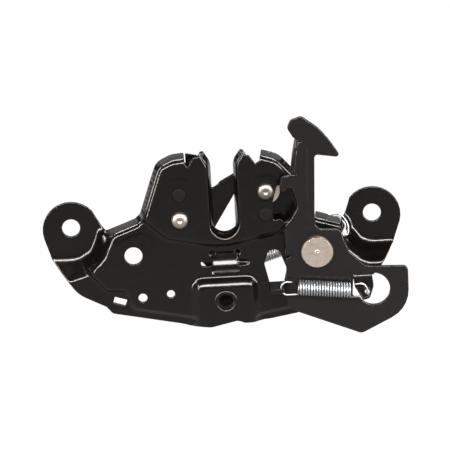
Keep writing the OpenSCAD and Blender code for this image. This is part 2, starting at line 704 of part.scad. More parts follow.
module lever_spring() {
  color(zinc)
    wire(concat(
      [[hook_l[0] + 2.2, spring_y, hook_l[1] + hook_l[2]]],
      reversed(hook_line(hook_l, -1)),
      coil(spring_a, spring_b, spring_r, spring_turns, 180),
      hook_line(hook_r, 1),
      [[hook_r[0] - 3.2, spring_y, hook_r[1] + hook_r[2]]]),
      lever_wire, 5);
}

// Rear extension spring from the fork tail to the hole in the right ear wall
rear_y = main_y + sheet_t + 0.35 + fork_spring_d / 2;
rear_r = (fork_spring_d - fork_wire) / 2;
rear_leg_y = max(rear_y + rear_r, fork_y + fork_t + 0.35 + fork_wire / 2);
loop_at = [58.4, -4.4];
loop_r = 4.7;
loop_y = main_y + 4.4;
rear_dir = unit(loop_at + [0, -2] - tail_at);
rear_a = tail_at + 10 * rear_dir;
rear_b = tail_at + 41 * rear_dir;

module fork_spring() {
  color(zinc)
    wire(concat(
      [[tail_at[0], fork_y + 0.4, tail_at[1]], [tail_at[0], rear_leg_y - 1, tail_at[1]],
        [tail_at[0] + 0.3, rear_leg_y - 0.2, tail_at[1] + 0.1],
        [tail_at[0] + 1, rear_leg_y, tail_at[1] + 0.3]],
      coil([rear_a[0], rear_y, rear_a[1]], [rear_b[0], rear_y, rear_b[1]], rear_r, 24, 270),
      [for (i = [0:13]) let (p = loop_at + loop_r * turned(200 - 20 * i))
        [p[0], loop_y + max(0, i - 11), p[1]]]),
      fork_wire, 5);
}

// Torsion spring on the pawl sleeve, behind the spacer
module pawl_spring() {
  r = bush_d / 2 + 0.15 + pawl_wire / 2;
  y0 = pawl_spacer_y + 0.1 + pawl_wire / 2;
  y1 = slot_end_y - pawl_wire / 2;
  color(zinc)
    wire(concat(
      [[pawl_at[0] - 10, y0, pawl_at[1] + r], [pawl_at[0] - 4, y0, pawl_at[1] + r]],
      [for (i = [0:20]) let (p = pawl_at + r * turned(90 - 31.5 * i))
        [p[0], y0 + (y1 - y0) * i / 20, p[1]]],
      [[pawl_at[0] - r, y1, pawl_at[1] - 12]]),
      pawl_wire, 5);
}

base_plate();
back_plate();
latch_fork();
pawl();
fork_bush();
pawl_bush();
fork_spacer();
pawl_spacer();
fork_pivot_rivet();
pawl_pivot_rivet();
safety_lever();
lever_bush();
lever_washer();
lever_pivot_rivet();
weld_nut();
lever_spring();
fork_spring();
pawl_spring();
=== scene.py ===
import json
import math
import bpy
import numpy as np
from mathutils import Vector, Matrix
from mathutils.bvhtree import BVHTree
from mathutils.geometry import delaunay_2d_cdt
from mathutils.kdtree import KDTree


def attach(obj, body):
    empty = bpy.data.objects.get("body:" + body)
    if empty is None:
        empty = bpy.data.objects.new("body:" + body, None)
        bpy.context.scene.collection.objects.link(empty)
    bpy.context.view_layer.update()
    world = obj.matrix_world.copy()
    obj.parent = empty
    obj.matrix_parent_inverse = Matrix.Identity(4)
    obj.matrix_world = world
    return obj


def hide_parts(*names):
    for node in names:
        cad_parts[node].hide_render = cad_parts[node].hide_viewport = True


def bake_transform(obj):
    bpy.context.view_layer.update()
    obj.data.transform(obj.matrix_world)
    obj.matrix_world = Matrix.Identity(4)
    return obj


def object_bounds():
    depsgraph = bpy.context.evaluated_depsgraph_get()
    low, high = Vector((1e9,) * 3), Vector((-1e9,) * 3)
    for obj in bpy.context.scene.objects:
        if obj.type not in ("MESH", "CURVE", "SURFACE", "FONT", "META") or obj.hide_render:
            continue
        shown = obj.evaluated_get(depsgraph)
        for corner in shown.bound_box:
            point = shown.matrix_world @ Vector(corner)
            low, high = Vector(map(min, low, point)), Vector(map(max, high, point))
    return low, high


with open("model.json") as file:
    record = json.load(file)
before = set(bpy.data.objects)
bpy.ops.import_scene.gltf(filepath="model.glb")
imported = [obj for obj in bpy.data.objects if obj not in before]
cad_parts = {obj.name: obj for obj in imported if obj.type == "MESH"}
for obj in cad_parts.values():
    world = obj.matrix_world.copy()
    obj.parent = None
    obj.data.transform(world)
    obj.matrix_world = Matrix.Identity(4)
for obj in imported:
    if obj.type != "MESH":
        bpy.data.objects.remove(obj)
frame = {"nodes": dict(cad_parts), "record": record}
cadBox = [list(corner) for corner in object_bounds()]
nodes = frame["nodes"]
bodies = frame["record"]["behaviour"]["bodies"]
pivotOf = {joint["child"]: joint["pos_m"] for joint in frame["record"]["behaviour"]["joints"]}
mm = 0.001
tiny = 1e-12  # keeps a length away from zero
print("frame loaded,", len(nodes), "nodes")


def addObject(name, data):
    item = bpy.data.objects.new(name, data)
    bpy.context.scene.collection.objects.link(item)
    return item


# camera
cameraSettings = {
    "target": (1.65, -12, 0.2),  # mm, the middle of the picture
    "elevation": 15,  # degrees above the plate
    "roll": 3,  # the latch leans this much to the left
    "distance": 4.0,  # m
    "fieldWidth": 0.225,  # m across the picture at the plate
    "sensor": 36,
}


def makeCamera(settings):
    target = Vector(settings["target"]) * mm
    lift = math.radians(settings["elevation"])
    away = Vector((0, -math.cos(lift), math.sin(lift)))
    camera = addObject("camera", bpy.data.cameras.new("camera"))
    camera.location = target + away * settings["distance"]
    aim = away.to_track_quat("Z", "Y").to_matrix().to_4x4()
    lean = Matrix.Rotation(-math.radians(settings["roll"]), 4, "Z")
    camera.matrix_world = Matrix.Translation(camera.location) @ aim @ lean
    camera.data.sensor_width = settings["sensor"]
    camera.data.lens = settings["sensor"] * settings["distance"] / settings["fieldWidth"]
    camera.data.clip_start = 0.1
    camera.data.clip_end = 100
    bpy.context.scene.camera = camera


makeCamera(cameraSettings)
print("camera placed")


# floor, world and lamps
studioSettings = {
    "floorDrop": 0.004,  # m below the lowest edge
    "floorSize": 24.0,
    "floorShade": 0.85,
    "floorWhite": 0.99,  # share of the floor that shows plain white to the camera
    "floorMirrored": (0.8, 0.48),  # how light the floor is in reflections, at the foot and far in front
    "floorReach": (-0.06, -0.32),  # m, where those two lie
    "worldLight": 0.04,
    "lamps": [
        # name, place, size, watts; all of them aim at the middle
        ("overheadStrip", (0.0, 0.3, 0.86), (1.6, 0.14), 28),
        ("frontStrip", (0.0, -1.05, 0.56), (1.8, 0.13), 62),
        ("leftStrip", (-0.85, -0.75, 0.1), (0.1, 1.1), 30),
        ("rightStrip", (0.85, -0.75, 0.1), (0.1, 1.1), 30),
        ("leftBackStrip", (-0.9, 0.3, 0.16), (0.12, 1.0), 12),
        ("rightBackStrip", (0.9, 0.3, 0.16), (0.12, 1.0), 12),
        ("backSoftbox", (0.0, 0.85, 0.62), (1.6, 0.6), 4),
    ],
}


def joinValues(tree, operation, first, second):
    step = tree.nodes.new("ShaderNodeMath")
    step.operation = operation
    for value, socket in zip((first, second), step.inputs):
        if isinstance(value, float):
            socket.default_value = value
        else:
            tree.links.new(value, socket)
    return step.outputs[0]


def whitePaper(settings):
    paper = bpy.data.materials.new("whitePaper")
    paper.use_nodes = True
    tree = paper.node_tree
    tree.nodes.clear()
    out = tree.nodes.new("ShaderNodeOutputMaterial")
    mix = tree.nodes.new("ShaderNodeMixShader")
    matt = tree.nodes.new("ShaderNodeBsdfDiffuse")
    matt.inputs["Color"].default_value = (*[settings["floorShade"]] * 3, 1)
    plain = tree.nodes.new("ShaderNodeEmission")
    path = tree.nodes.new("ShaderNodeLightPath")
    inView = joinValues(tree, "MAXIMUM", path.outputs["Is Camera Ray"], path.outputs["Is Transmission Ray"])
    mirrored = path.outputs["Is Glossy Ray"]
    either = joinValues(tree, "MAXIMUM", inView, mirrored)
    tree.links.new(joinValues(tree, "MULTIPLY", either, settings["floorWhite"]), mix.inputs["Fac"])
    where = tree.nodes.new("ShaderNodeNewGeometry")
    parts = tree.nodes.new("ShaderNodeSeparateXYZ")
    fall = tree.nodes.new("ShaderNodeMapRange")
    for end, name in enumerate(("Min", "Max")):
        fall.inputs["From " + name].default_value = settings["floorReach"][end]
        fall.inputs["To " + name].default_value = settings["floorMirrored"][end]
    tree.links.new(where.outputs["Position"], parts.inputs["Vector"])
    tree.links.new(parts.outputs["Y"], fall.inputs["Value"])
    mirroredLevel = joinValues(tree, "MULTIPLY", mirrored, fall.outputs["Result"])
    tree.links.new(joinValues(tree, "MAXIMUM", inView, mirroredLevel), plain.inputs["Strength"])
    tree.links.new(matt.outputs[0], mix.inputs[1])
    tree.links.new(plain.outputs[0], mix.inputs[2])
    tree.links.new(mix.outputs[0], out.inputs["Surface"])
    return paper


def makeFloor(settings):
    lowest = cadBox[0][2] - settings["floorDrop"]
    half = settings["floorSize"] / 2
    square = [(-half, -half, lowest), (half, -half, lowest), (half, half, lowest), (-half, half, lowest)]
    mesh = bpy.data.meshes.new("floor")
    mesh.from_pydata(square, [], [(0, 1, 2, 3)])
    floor = addObject("floor", mesh)
    mesh.materials.append(whitePaper(settings))


def makeLight(settings):
    world = bpy.data.worlds.new("whiteRoom")
    bpy.context.scene.world = world
    world.use_nodes = True
    back = world.node_tree.nodes["Background"]
    back.inputs["Color"].default_value = (1, 1, 1, 1)
    back.inputs["Strength"].default_value = settings["worldLight"]
    for name, place, size, watts in settings["lamps"]:
        lamp = bpy.data.lights.new(name, "AREA")
        lamp.shape = "RECTANGLE"
        lamp.size, lamp.size_y = size
        lamp.energy = watts
        holder = addObject(name, lamp)
        aim = (-Vector(place)).to_track_quat("-Z", "Y").to_matrix().to_4x4()
        holder.matrix_world = Matrix.Translation(place) @ aim


makeFloor(studioSettings)
makeLight(studioSettings)
bpy.context.scene.view_settings.view_transform = "Standard"
print("studio ready")


# finishes
def newFinish(name, colour, metallic, roughness):
    finish = bpy.data.materials.new(name)
    finish.use_nodes = True
    tree = finish.node_tree
    shader = tree.nodes["Principled BSDF"]
    shader.inputs["Base Color"].default_value = (*colour, 1)
    shader.inputs["Metallic"].default_value = metallic
    shader.inputs["Roughness"].default_value = roughness
    finish.diffuse_color = (*colour, 1)
    return finish, tree, shader


def speckle(tree, scale, detail):
    where = tree.nodes.new("ShaderNodeTexCoord")
    noise = tree.nodes.new("ShaderNodeTexNoise")
    noise.inputs["Scale"].default_value = scale
    noise.inputs["Detail"].default_value = detail
    tree.links.new(where.outputs["Object"], noise.inputs["Vector"])
    return noise.outputs["Fac"]


def varyRoughness(tree, shader, value, low, high):
    span = tree.nodes.new("ShaderNodeMapRange")
    span.inputs["From Min"].default_value = 0.3
    span.inputs["From Max"].default_value = 0.7
    span.inputs["To Min"].default_value = low
    span.inputs["To Max"].default_value = high
    tree.links.new(value, span.inputs["Value"])
    tree.links.new(span.outputs["Result"], shader.inputs["Roughness"])


def addBump(tree, shader, value, strength, distance):
    bump = tree.nodes.new("ShaderNodeBump")
    bump.inputs["Strength"].default_value = strength
    bump.inputs["Distance"].default_value = distance
    tree.links.new(value, bump.inputs["Height"])
    tree.links.new(bump.outputs["Normal"], shader.inputs["Normal"])


def blackCoat(name, shade):
    # dipped black paint: satin, with a very fine orange peel
    finish, tree, shader = newFinish(name, shade, metallic=0.0, roughness=0.3)
    shader.inputs["Specular IOR Level"].default_value = 0.25
    shader.inputs["Specular Tint"].default_value = (1, 0.95, 0.9, 1)
    varyRoughness(tree, shader, speckle(tree, scale=260, detail=3), low=0.16, high=0.21)
    addBump(tree, shader, speckle(tree, scale=1400, detail=2), strength=0.015, distance=0.0002)
    return finish


def nickelRivet(name, shade, roughness, centre):
    # plated head: pale and warm, with faint rays from its centre
    finish, tree, shader = newFinish(name, shade, metallic=1.0, roughness=roughness)
    where = tree.nodes.new("ShaderNodeTexCoord")
    upright = tree.nodes.new("ShaderNodeMapping")
    upright.inputs["Rotation"].default_value = (math.pi / 2, 0, 0)
    upright.inputs["Location"].default_value = (-centre[0], centre[2], 0)
    angle = tree.nodes.new("ShaderNodeTexGradient")
    angle.gradient_type = "RADIAL"
    rays = tree.nodes.new("ShaderNodeTexNoise")
    rays.noise_dimensions = "1D"
    rays.inputs["Scale"].default_value = 34
    rays.inputs["Detail"].default_value = 3
    tree.links.new(where.outputs["Object"], upright.inputs["Vector"])
    tree.links.new(upright.outputs["Vector"], angle.inputs["Vector"])
    tree.links.new(angle.outputs["Fac"], rays.inputs["W"])
    mottle = tree.nodes.new("ShaderNodeMix")
    mottle.data_type = "RGBA"
    mottle.inputs["A"].default_value = (*[0.9 * part for part in shade], 1)
    mottle.inputs["B"].default_value = (*[1.1 * part for part in shade], 1)
    tree.links.new(rays.outputs["Fac"], mottle.inputs["Factor"])
    tree.links.new(mottle.outputs["Result"], shader.inputs["Base Color"])
    spots = speckle(tree, scale=420, detail=4)
    varyRoughness(tree, shader, spots, low=roughness - 0.03, high=roughness + 0.03)
    addBump(tree, shader, speckle(tree, scale=1600, detail=2), strength=0.02, distance=0.0001)
    return finish


def brightZinc():
    finish, tree, shader = newFinish("brightZinc", (0.3, 0.305, 0.31), metallic=1.0, roughness=0.45)
    varyRoughness(tree, shader, speckle(tree, scale=700, detail=3), low=0.4, high=0.5)
    return finish


def dullZinc():
    finish, tree, shader = newFinish("dullZinc", (0.33, 0.33, 0.34), metallic=1.0, roughness=0.4)
    varyRoughness(tree, shader, speckle(tree, scale=700, detail=3), low=0.34, high=0.46)
    return finish


def dullCoat():
    # the coat on the sheared dots, darker and duller than the plate's
    finish, tree, shader = newFinish("dullCoat", (0.0009, 0.0008, 0.0007), metallic=0.0, roughness=0.45)
    shader.inputs["Specular IOR Level"].default_value = 0.13
    shader.inputs["Specular Tint"].default_value = (1, 0.95, 0.9, 1)
    varyRoughness(tree, shader, speckle(tree, scale=500, detail=3), low=0.4, high=0.5)
    return finish


def paintedDotShadow():
    # painted shadow: a dull, dark ring that shows as a crescent of shade under each dot
    finish, tree, shader = newFinish("paintedDotShadow", (0.0008, 0.0007, 0.0007), metallic=0.0, roughness=0.8)
    shader.inputs["Specular IOR Level"].default_value = 0.05
    varyRoughness(tree, shader, speckle(tree, scale=900, detail=3), low=0.7, high=0.9)
    return finish


def darkThread():
    # oiled steel ridges of the thread
    finish, tree, shader = newFinish("darkNut", (0.3, 0.295, 0.29), metallic=1.0, roughness=0.3)
    varyRoughness(tree, shader, speckle(tree, scale=600, detail=3), low=0.22, high=0.34)
    return finish


def paintedBoreShade():
    # painted shade: the nut near black and almost without sheen, as its inside lies unlit
    finish, tree, shader = newFinish("paintedBoreShade", (0.0006, 0.0006, 0.0007), metallic=0.0, roughness=0.5)
    shader.inputs["Specular IOR Level"].default_value = 0.04
    varyRoughness(tree, shader, speckle(tree, scale=300, detail=2), low=0.45, high=0.55)
    return finish


coat = blackCoat("blackDipCoat", (0.0011, 0.0009, 0.0007))
leverCoat = blackCoat("leverDipCoat", (0.0025, 0.0022, 0.002))
bright = brightZinc()
dull = dullZinc()
darkNut = darkThread()
dotShadowFinish = paintedDotShadow()
dotFace = dullCoat()
nutPaintedShade = paintedBoreShade()
# the three heads are one nickel plating; their different shades are painted light and shade
leverHead = nickelRivet("leverHead", (0.53, 0.445, 0.375), 0.3, pivotOf["lever"])
forkHead = nickelRivet("forkHead", (0.24, 0.207, 0.178), 0.4, pivotOf["fork"])
pawlHead = nickelRivet("pawlHead", (0.15, 0.129, 0.109), 0.4, pivotOf["pawl"])
finishOf = {
    "base_plate": coat, "back_plate": coat, "latch_fork": coat, "pawl": coat, "safety_lever": leverCoat,
    "fork_pivot_rivet": forkHead, "pawl_pivot_rivet": pawlHead, "lever_pivot_rivet": leverHead,
    "fork_bush": dull, "pawl_bush": dull, "fork_spacer": dull, "pawl_spacer": leverHead,
    "lever_bush": dull, "lever_washer": dull, "weld_nut": nutPaintedShade,
    "lever_spring": bright, "fork_spring": bright, "pawl_spring": dull,
}
edgeSettings = {"join": 0.00002, "width": 0.0003, "segments": 2, "angle": 32}  # m, degrees


def dressNode(name, settings):
    piece = nodes[name]
    piece.data.materials.clear()
    piece.data.materials.append(finishOf[name])
    for polygon in piece.data.polygons:
        polygon.use_smooth = True
    weld = piece.modifiers.new("weld", "WELD")
    weld.merge_threshold = settings["join"]
    edge = piece.modifiers.new("edge", "BEVEL")
    edge.width = settings["width"]
    edge.segments = settings["segments"]
    edge.limit_method = "ANGLE"
    edge.angle_limit = math.radians(settings["angle"])
    even = piece.modifiers.new("even", "WEIGHTED_NORMAL")
    even.keep_sharp = True


for nodeName in nodes:
    dressNode(nodeName, edgeSettings)
print("finishes on")


# pressed sheets: the plate and the lever drawn again from their own front faces, with soft bends and
# rolled edges
sheetSettings = {
    # mm; dots are [x, z, radius, level] circles that are drawn as pieces of their own,
    # closed are boxes [x from, z from, x to, z to, level] that get a sunk floor: painted shade in an open
    # slot, rolled are boxes [x from, z from, x to, z to, radius] whose edge is bent back,
    # gentle are stretches [x from, x to, z from, z to, turns] with wider bends
    "base_plate": {"thick": 2.0, "grid": 0.55, "softer": 6, "edge": 0.32,
                   "gentle": [(-95, -53, -18, 60, 28), (59, 95, -60, 60, 28)],
                   "dots": [(-20.6, 17.6, 3.3, -15.35), (22.2, 5.4, 3.3, -15.35)],
                   "closed": [(7.0, -25.6, 13.4, -13.7, -10.4)], "rolled": [], "backLimit": 0},
    "safety_lever": {"thick": 2.5, "grid": 0.4, "softer": 1, "edge": 0.36,
                     "gentle": [], "dots": [], "closed": [],
                     "rolled": [(28.0, 1.0, 39.0, 25.6, 1.8)], "backLimit": -18.6},
}
sheetRules = {
    "leastFacing": 0.05,  # a face counts as front when it looks forward by more than this
    "lowStep": 1.2,  # mm, upright faces lower than this belong to the front too
    "samePlace": 0.06,  # mm
    "spike": 0.995,  # cosine of a spike that is dropped
    "leastHole": 0.5,  # square mm
    "edgeStep": 0.25,  # mm between the places that measure the way to an edge
    "gap": 0.75,  # share of the grid that stays free along an edge
    "smallGap": 0.6,  # the same in the smaller sheets
    "arcSteps": 6,  # points on a rounded corner
    "pull": 0.6,  # how much of a bend one turn of softening takes
    "gentleFade": 4,  # mm
    "rollFade": 3,  # mm
    "normalTurns": 10,
    "rimSteps": 3,
    "noLimit": 100.0,  # mm, behind everything
}


# lever: no bead, and the hook side stands a little proud along a line down the arm and round the pivot
leverSettings = {
    "front": -21.0, "step": 0.5, "blur": 0.52,  # mm, the face, how proud and half the width of the step
    "arch": (42.1, 39.6, 2.3),  # x, z and radius of the upper end of that line
    "line": (43.0, -1.5, 0.0337),  # x and z of its lower end and its lean
    "boss": 9.9,  # radius round the pivot
    "fade": [(-22, 0), (-12, 0.35), (-4, 0.35), (8, 1)],  # z and the share of the step there
    "tab": {"facingUp": 0.45, "left": 64.5, "top": -26},  # where the tab at the spring hole begins
}


def leverForm(x, z, y):
    pivotX, pivotZ = pivotOf["lever"][0] / mm, pivotOf["lever"][2] / mm
    archX, archZ, archRadius = leverSettings["arch"]
    lineX, lineZ, lean = leverSettings["line"]
    if z > archZ:
        inside = archRadius - math.hypot(x - archX, z - archZ)
    elif z > lineZ:
        inside = lineX + (z - lineZ) * lean - x
    elif x < pivotX:
        inside = math.hypot(x - pivotX, z - pivotZ) - leverSettings["boss"]
    else:
        inside = -1
    share = min(1, max(0, 0.5 - inside / (2 * leverSettings["blur"])))
    heights, shares = zip(*leverSettings["fade"])
    proud = leverSettings["step"] * share * share * (3 - 2 * share) * float(np.interp(z, heights, shares))
    return max(y, leverSettings["front"]) - proud


# window tab of the plate: [z, y] of its face from the bottom up, with two ramps; the band along the top
# keeps its place where it lies ahead of a level
windowSettings = {
    "left": -5.6, "right": 7.3, "plateLevel": -12.05, "topBand": -14.9, "topLevel": -11.5,
    "face": [(-25.3, -12.0), (-24.9, -12.0), (-23.2, -11.25), (-20.8, -10.98), (-18.9, -10.0), (-14.0, -9.0)],
}
# chamfer along the upper edge of the nut platform
platformSettings = {"left": -16.0, "right": 14.5, "from": -31.3, "to": -27.5, "face": -15.0, "slope": 0.42}


def plateForm(x, z, y):
    edge = platformSettings
    if edge["left"] < x < edge["right"] and edge["from"] < z < edge["to"]:
        return max(y, edge["face"] + edge["slope"] * (z - edge["from"]))
    tab = windowSettings
    heights, levels = zip(*tab["face"])
    inTab = tab["left"] < x < tab["right"] and heights[0] < z < heights[-1] and y > tab["plateLevel"]
    if inTab and (z < tab["topBand"] or y > tab["topLevel"]):
        return float(np.interp(z, heights, levels))
    return y


def unit(rows):
    return rows / np.maximum(np.linalg.norm(rows, axis=1), tiny)[:, None]


def cadTriangles(name):
    mesh = nodes[name].data
    mesh.calc_loop_triangles()
    points = np.array([corner.co for corner in mesh.vertices]) / mm
    _, first, back = np.unique(np.round(points, 3), axis=0, return_index=True, return_inverse=True)
    triangles = back.reshape(-1)[np.array([t.vertices for t in mesh.loop_triangles])]
    a, b, c = triangles.T
    sound = (a != b) & (b != c) & (a != c)
    return points[first], triangles[sound]


def frontFaces(points, triangles, leaveOut):
    a, b, c = (points[triangles[:, i]] for i in range(3))
    normal = np.cross(b - a, c - a)
    area = np.linalg.norm(normal, axis=1) / 2
    normal = unit(normal)
    facing = normal[:, 1]
    least = sheetRules["leastFacing"]
    low = np.ptp(points[triangles][:, :, 1], axis=1) < sheetRules["lowStep"]
    wanted = (facing < -least) | ((np.abs(facing) <= least) & low)
    return np.flatnonzero(wanted & ~leaveOut((a + b + c) / 3, normal)), area


def largestPatch(triangles, faces, area):
    # joins faces over shared edges and keeps the patch with the most area
    owner = {int(f): int(f) for f in faces}

    def rootOf(f):
        while owner[f] != f:
            owner[f] = owner[owner[f]]
            f = owner[f]
        return f

    seen = {}
    for f in faces:
        tri = triangles[f]
        for i in range(3):
            key = tuple(sorted((int(tri[i]), int(tri[(i + 1) % 3]))))
            if key in seen:
                owner[rootOf(int(f))] = rootOf(seen[key])
            else:
                seen[key] = int(f)
    total = {}
    for f in faces:
        total[rootOf(int(f))] = total.get(rootOf(int(f)), 0) + area[f]
    best = max(total, key=total.get)
    return [int(f) for f in faces if rootOf(int(f)) == best]


def edgeLoops(points, triangles, patch):
    half = {}
    for f in patch:
        tri = triangles[f]
        for i in range(3):
            half[(int(tri[i]), int(tri[(i + 1) % 3]))] = f
    following = {}
    for start, end in half:
        if (end, start) not in half:
            following.setdefault(start, []).append(end)
    loops = []
    while following:
        start = next(iter(following))
        loop = [start]
        here = start
        while True:
            there = following[here].pop()
            if not following[here]:
                del following[here]
            here = there
            if here == start or here not in following:
                break
            loop.append(here)
        loops.append(points[loop])
    return loops


def splitRuns(line, spacing):
    # puts points into the long runs of a closed line
    fine = []
    for p, q in zip(line, [*line[1:], line[0]]):
        parts = max(1, round(np.linalg.norm(q - p) / spacing))
        fine.extend(p + (q - p) * i / parts for i in range(parts))
    return np.array(fine)


def cleanLoop(loop, spacing):
    # drops repeated places and back and forth spikes seen from the front, then splits long runs
    flat = list(loop)
    changed = True
    while changed and len(flat) > 3:
        changed = False
        kept = []
        for i, p in enumerate(flat):
            q = kept[-1] if kept else flat[i - 1]
            if math.hypot(p[0] - q[0], p[2] - q[2]) < sheetRules["samePlace"]:
                changed = True
                continue
            kept.append(p)
        flat = kept
        count = len(flat)
        for i in range(count):
            u = flat[i - 1] - flat[i]
            v = flat[(i + 1) % count] - flat[i]
            lengths = math.hypot(u[0], u[2]) * math.hypot(v[0], v[2])
            if (u[0] * v[0] + u[2] * v[2]) > sheetRules["spike"] * lengths:
                del flat[i]
                changed = True
                break
    if len(flat) < 4:
        return None
    ring = np.array(flat)
    onward = np.roll(ring, -1, axis=0)
    area = 0.5 * abs(np.sum(ring[:, 0] * onward[:, 2] - onward[:, 0] * ring[:, 2]))
    return splitRuns(ring, spacing) if area >= sheetRules["leastHole"] else None


def denser(loop, spacing):
    onward = np.roll(loop, -1, axis=0)
    parts = max(1, int(np.max(np.linalg.norm(onward - loop, axis=1)) / spacing))
    return np.vstack([loop + (onward - loop) * i / parts for i in range(parts)])


def placeTree(places):
    tree = KDTree(len(places))
    for i, p in enumerate(places):
        tree.insert((p[0], 0, p[2]), i)
    tree.balance()
    return tree


def gridInside(loops, spacing, hit):
    tree = placeTree(np.vstack([denser(loop, sheetRules["edgeStep"]) for loop in loops]))
    low = np.min([loop.min(0) for loop in loops], axis=0)
    high = np.max([loop.max(0) for loop in loops], axis=0)
    row = spacing * math.sqrt(3) / 2
    inside = []
    for j in range(int((high[2] - low[2]) / row) + 1):
        z = low[2] + (j + 0.5) * row
        for i in range(int((high[0] - low[0]) / spacing) + 1):
            x = low[0] + (i + 0.25 + 0.5 * (j % 2)) * spacing
            if tree.find((x, 0, z))[2] > sheetRules["gap"] * spacing and hit(x, z) is not None:
                inside.append((x, z))
    return inside


def neighbourMeans(count, triangles):
    pairs = np.vstack([triangles[:, [0, 1]], triangles[:, [1, 2]], triangles[:, [2, 0]]])
    pairs = np.unique(np.sort(pairs, axis=1), axis=0)
    ends = np.concatenate([pairs[:, 0], pairs[:, 1]])
    others = np.concatenate([pairs[:, 1], pairs[:, 0]])
    degree = np.maximum(np.bincount(ends, minlength=count), 1)

    def mean(values):
        columns = values.reshape(count, -1).T
        total = np.stack([np.bincount(ends, column[others], count) for column in columns], axis=1)
        return (total / degree[:, None]).reshape(values.shape)

    return mean


def cornerNormals(points, triangles):
    a, b, c = (points[triangles[:, i]] for i in range(3))
    face = np.cross(b - a, c - a)
    out = np.zeros_like(points)
    for i in range(3):
        np.add.at(out, triangles[:, i], face)
    return unit(out)


def faceSum(points, triangles):
    a, b, c = (points[triangles[:, i]] for i in range(3))
    return np.cross(b - a, c - a).sum(0)


def numberedRings(loops):
    rings = []
    start = 0
    for loop in loops:
        rings.append(list(range(start, start + len(loop))))
        start += len(loop)
    return rings


def fillRings(flat, rings):
    # triangles between the rings, with the new numbers of the rings' points
    edges = [(ring[i], ring[(i + 1) % len(ring)]) for ring in rings for i in range(len(ring))]
    made, _, cells, fromPoints, _, _ = delaunay_2d_cdt(flat, edges, [], 0, 1e-6)
    newIndex = {old: new for new, olds in enumerate(fromPoints) for old in olds}
    return made, cells, fromPoints, [[newIndex[i] for i in ring] for ring in rings]


def cellMiddle(made, cell):
    return sum((made[i] for i in cell), Vector((0, 0))) / 3


def rimLinks(count, rings):
    # which points are on an edge, and the points before and after them there
    onRim = np.zeros(count, bool)
    before = np.arange(count)
    after = np.arange(count)
    for ring in rings:
        onRim[ring] = True
        before[ring] = np.roll(ring, 1)
        after[ring] = np.roll(ring, -1)
    return onRim, before, after


def bendBack(height, made, outline, box):
    lowX, lowZ, highX, highZ, roll = box
    tree = placeTree([p for p in outline if lowX < p[0] < highX and lowZ < p[2] < highZ])
    for i, place in enumerate(made):
        inset = roll - tree.find((place.x, 0, place.y))[2]
        ends = min(place.y - lowZ, highZ - place.y) / sheetRules["rollFade"]
        if inset > 0:
            height[i] += min(1, max(0, ends)) * (roll - math.sqrt(roll ** 2 - inset ** 2))


def soften(height, share, turns, mean, rim):
    onRim, before, after = rim
    for _ in range(turns):
        wanted = np.where(onRim, (height[before] + height[after]) / 2, mean(height))
        height += share * (wanted - height)


def keepAll(middle, normal):
    return np.zeros(len(middle), bool)


def hookTongue(middle, normal):
    # the lever's tab at the spring hole, which is drawn as a piece of its own
    tab = leverSettings["tab"]
    return (normal[:, 2] > tab["facingUp"]) & (middle[:, 0] > tab["left"]) & (middle[:, 2] < tab["top"])


def pressedSheet(name, settings, leaveOut, form):
    points, triangles = cadTriangles(name)
    patch = largestPatch(triangles, *frontFaces(points, triangles, leaveOut))
    corners = [Vector(p) for p in points]
    surface = BVHTree.FromPolygons(corners, [tuple(map(int, triangles[f])) for f in patch])
    ahead = points[:, 1].min() - 10

    def hit(x, z):
        for dotX, dotZ, radius, level in settings["dots"]:
            if math.hypot(x - dotX, z - dotZ) < radius:
                return level
        place = surface.ray_cast(Vector((x, ahead, z)), Vector((0, 1, 0)))[0]
        if place is not None:
            return form(x, z, place.y)
        # an open slot in these boxes gets a sunk dark floor as painted shade
        for lowX, lowZ, highX, highZ, level in settings["closed"]:
            if lowX < x < highX and lowZ < z < highZ:
                return level
        return None

    loops = [cleanLoop(loop, settings["grid"]) for loop in edgeLoops(points, triangles, patch)]
    loops = [loop for loop in loops if loop is not None]
    outline = np.vstack(loops)
    flat = [Vector((p[0], p[2])) for p in outline]
    flat += [Vector(p) for p in gridInside(loops, settings["grid"], hit)]
    made, cells, fromPoints, rings = fillRings(flat, numberedRings(loops))
    cells = np.array([c for c in cells if hit(*cellMiddle(made, c)) is not None])
    height = np.zeros(len(made))
    for i, place in enumerate(made):
        olds = [old for old in fromPoints[i] if old < len(outline)]
        level = form(place.x, place.y, outline[olds[0]][1]) if olds else hit(place.x, place.y)
        if level is None:
            level = form(place.x, place.y, surface.find_nearest(Vector((place.x, 0, place.y)))[0].y)
        height[i] = level
    for box in settings["rolled"]:
        bendBack(height, made, outline, box)

    rim = rimLinks(len(made), rings)
    mean = neighbourMeans(len(made), cells)
    soften(height, sheetRules["pull"], settings["softer"], mean, rim)
    x = np.array([p.x for p in made])
    z = np.array([p.y for p in made])
    for lowX, highX, lowZ, highZ, turns in settings["gentle"]:
        inside = np.minimum(np.minimum(x - lowX, highX - x), np.minimum(z - lowZ, highZ - z))
        share = np.clip(inside / sheetRules["gentleFade"], 0, 1) * sheetRules["pull"]
        soften(height, share, turns, mean, rim)
    front = np.stack([x, height, z], axis=1)
    if faceSum(front, cells)[1] > 0:
        cells = cells[:, ::-1]
    limits = np.full(len(made), sheetRules["noLimit"])
    for lowX, lowZ, highX, highZ, roll in settings["rolled"]:
        limits[(x > lowX) & (x < highX) & (z > lowZ) & (z < highZ)] = settings["backLimit"]
    thickSheet(name + "Sheet", front, cells, rings, rim, settings, name, limits)


def smoothPiece(title, corners, faces, finish):
    mesh = bpy.data.meshes.new(title)
    mesh.from_pydata(corners, [], faces)
    mesh.update()
    mesh.polygons.foreach_set("use_smooth", [True] * len(mesh.polygons))
    mesh.materials.append(finish)
    return addObject(title, mesh)


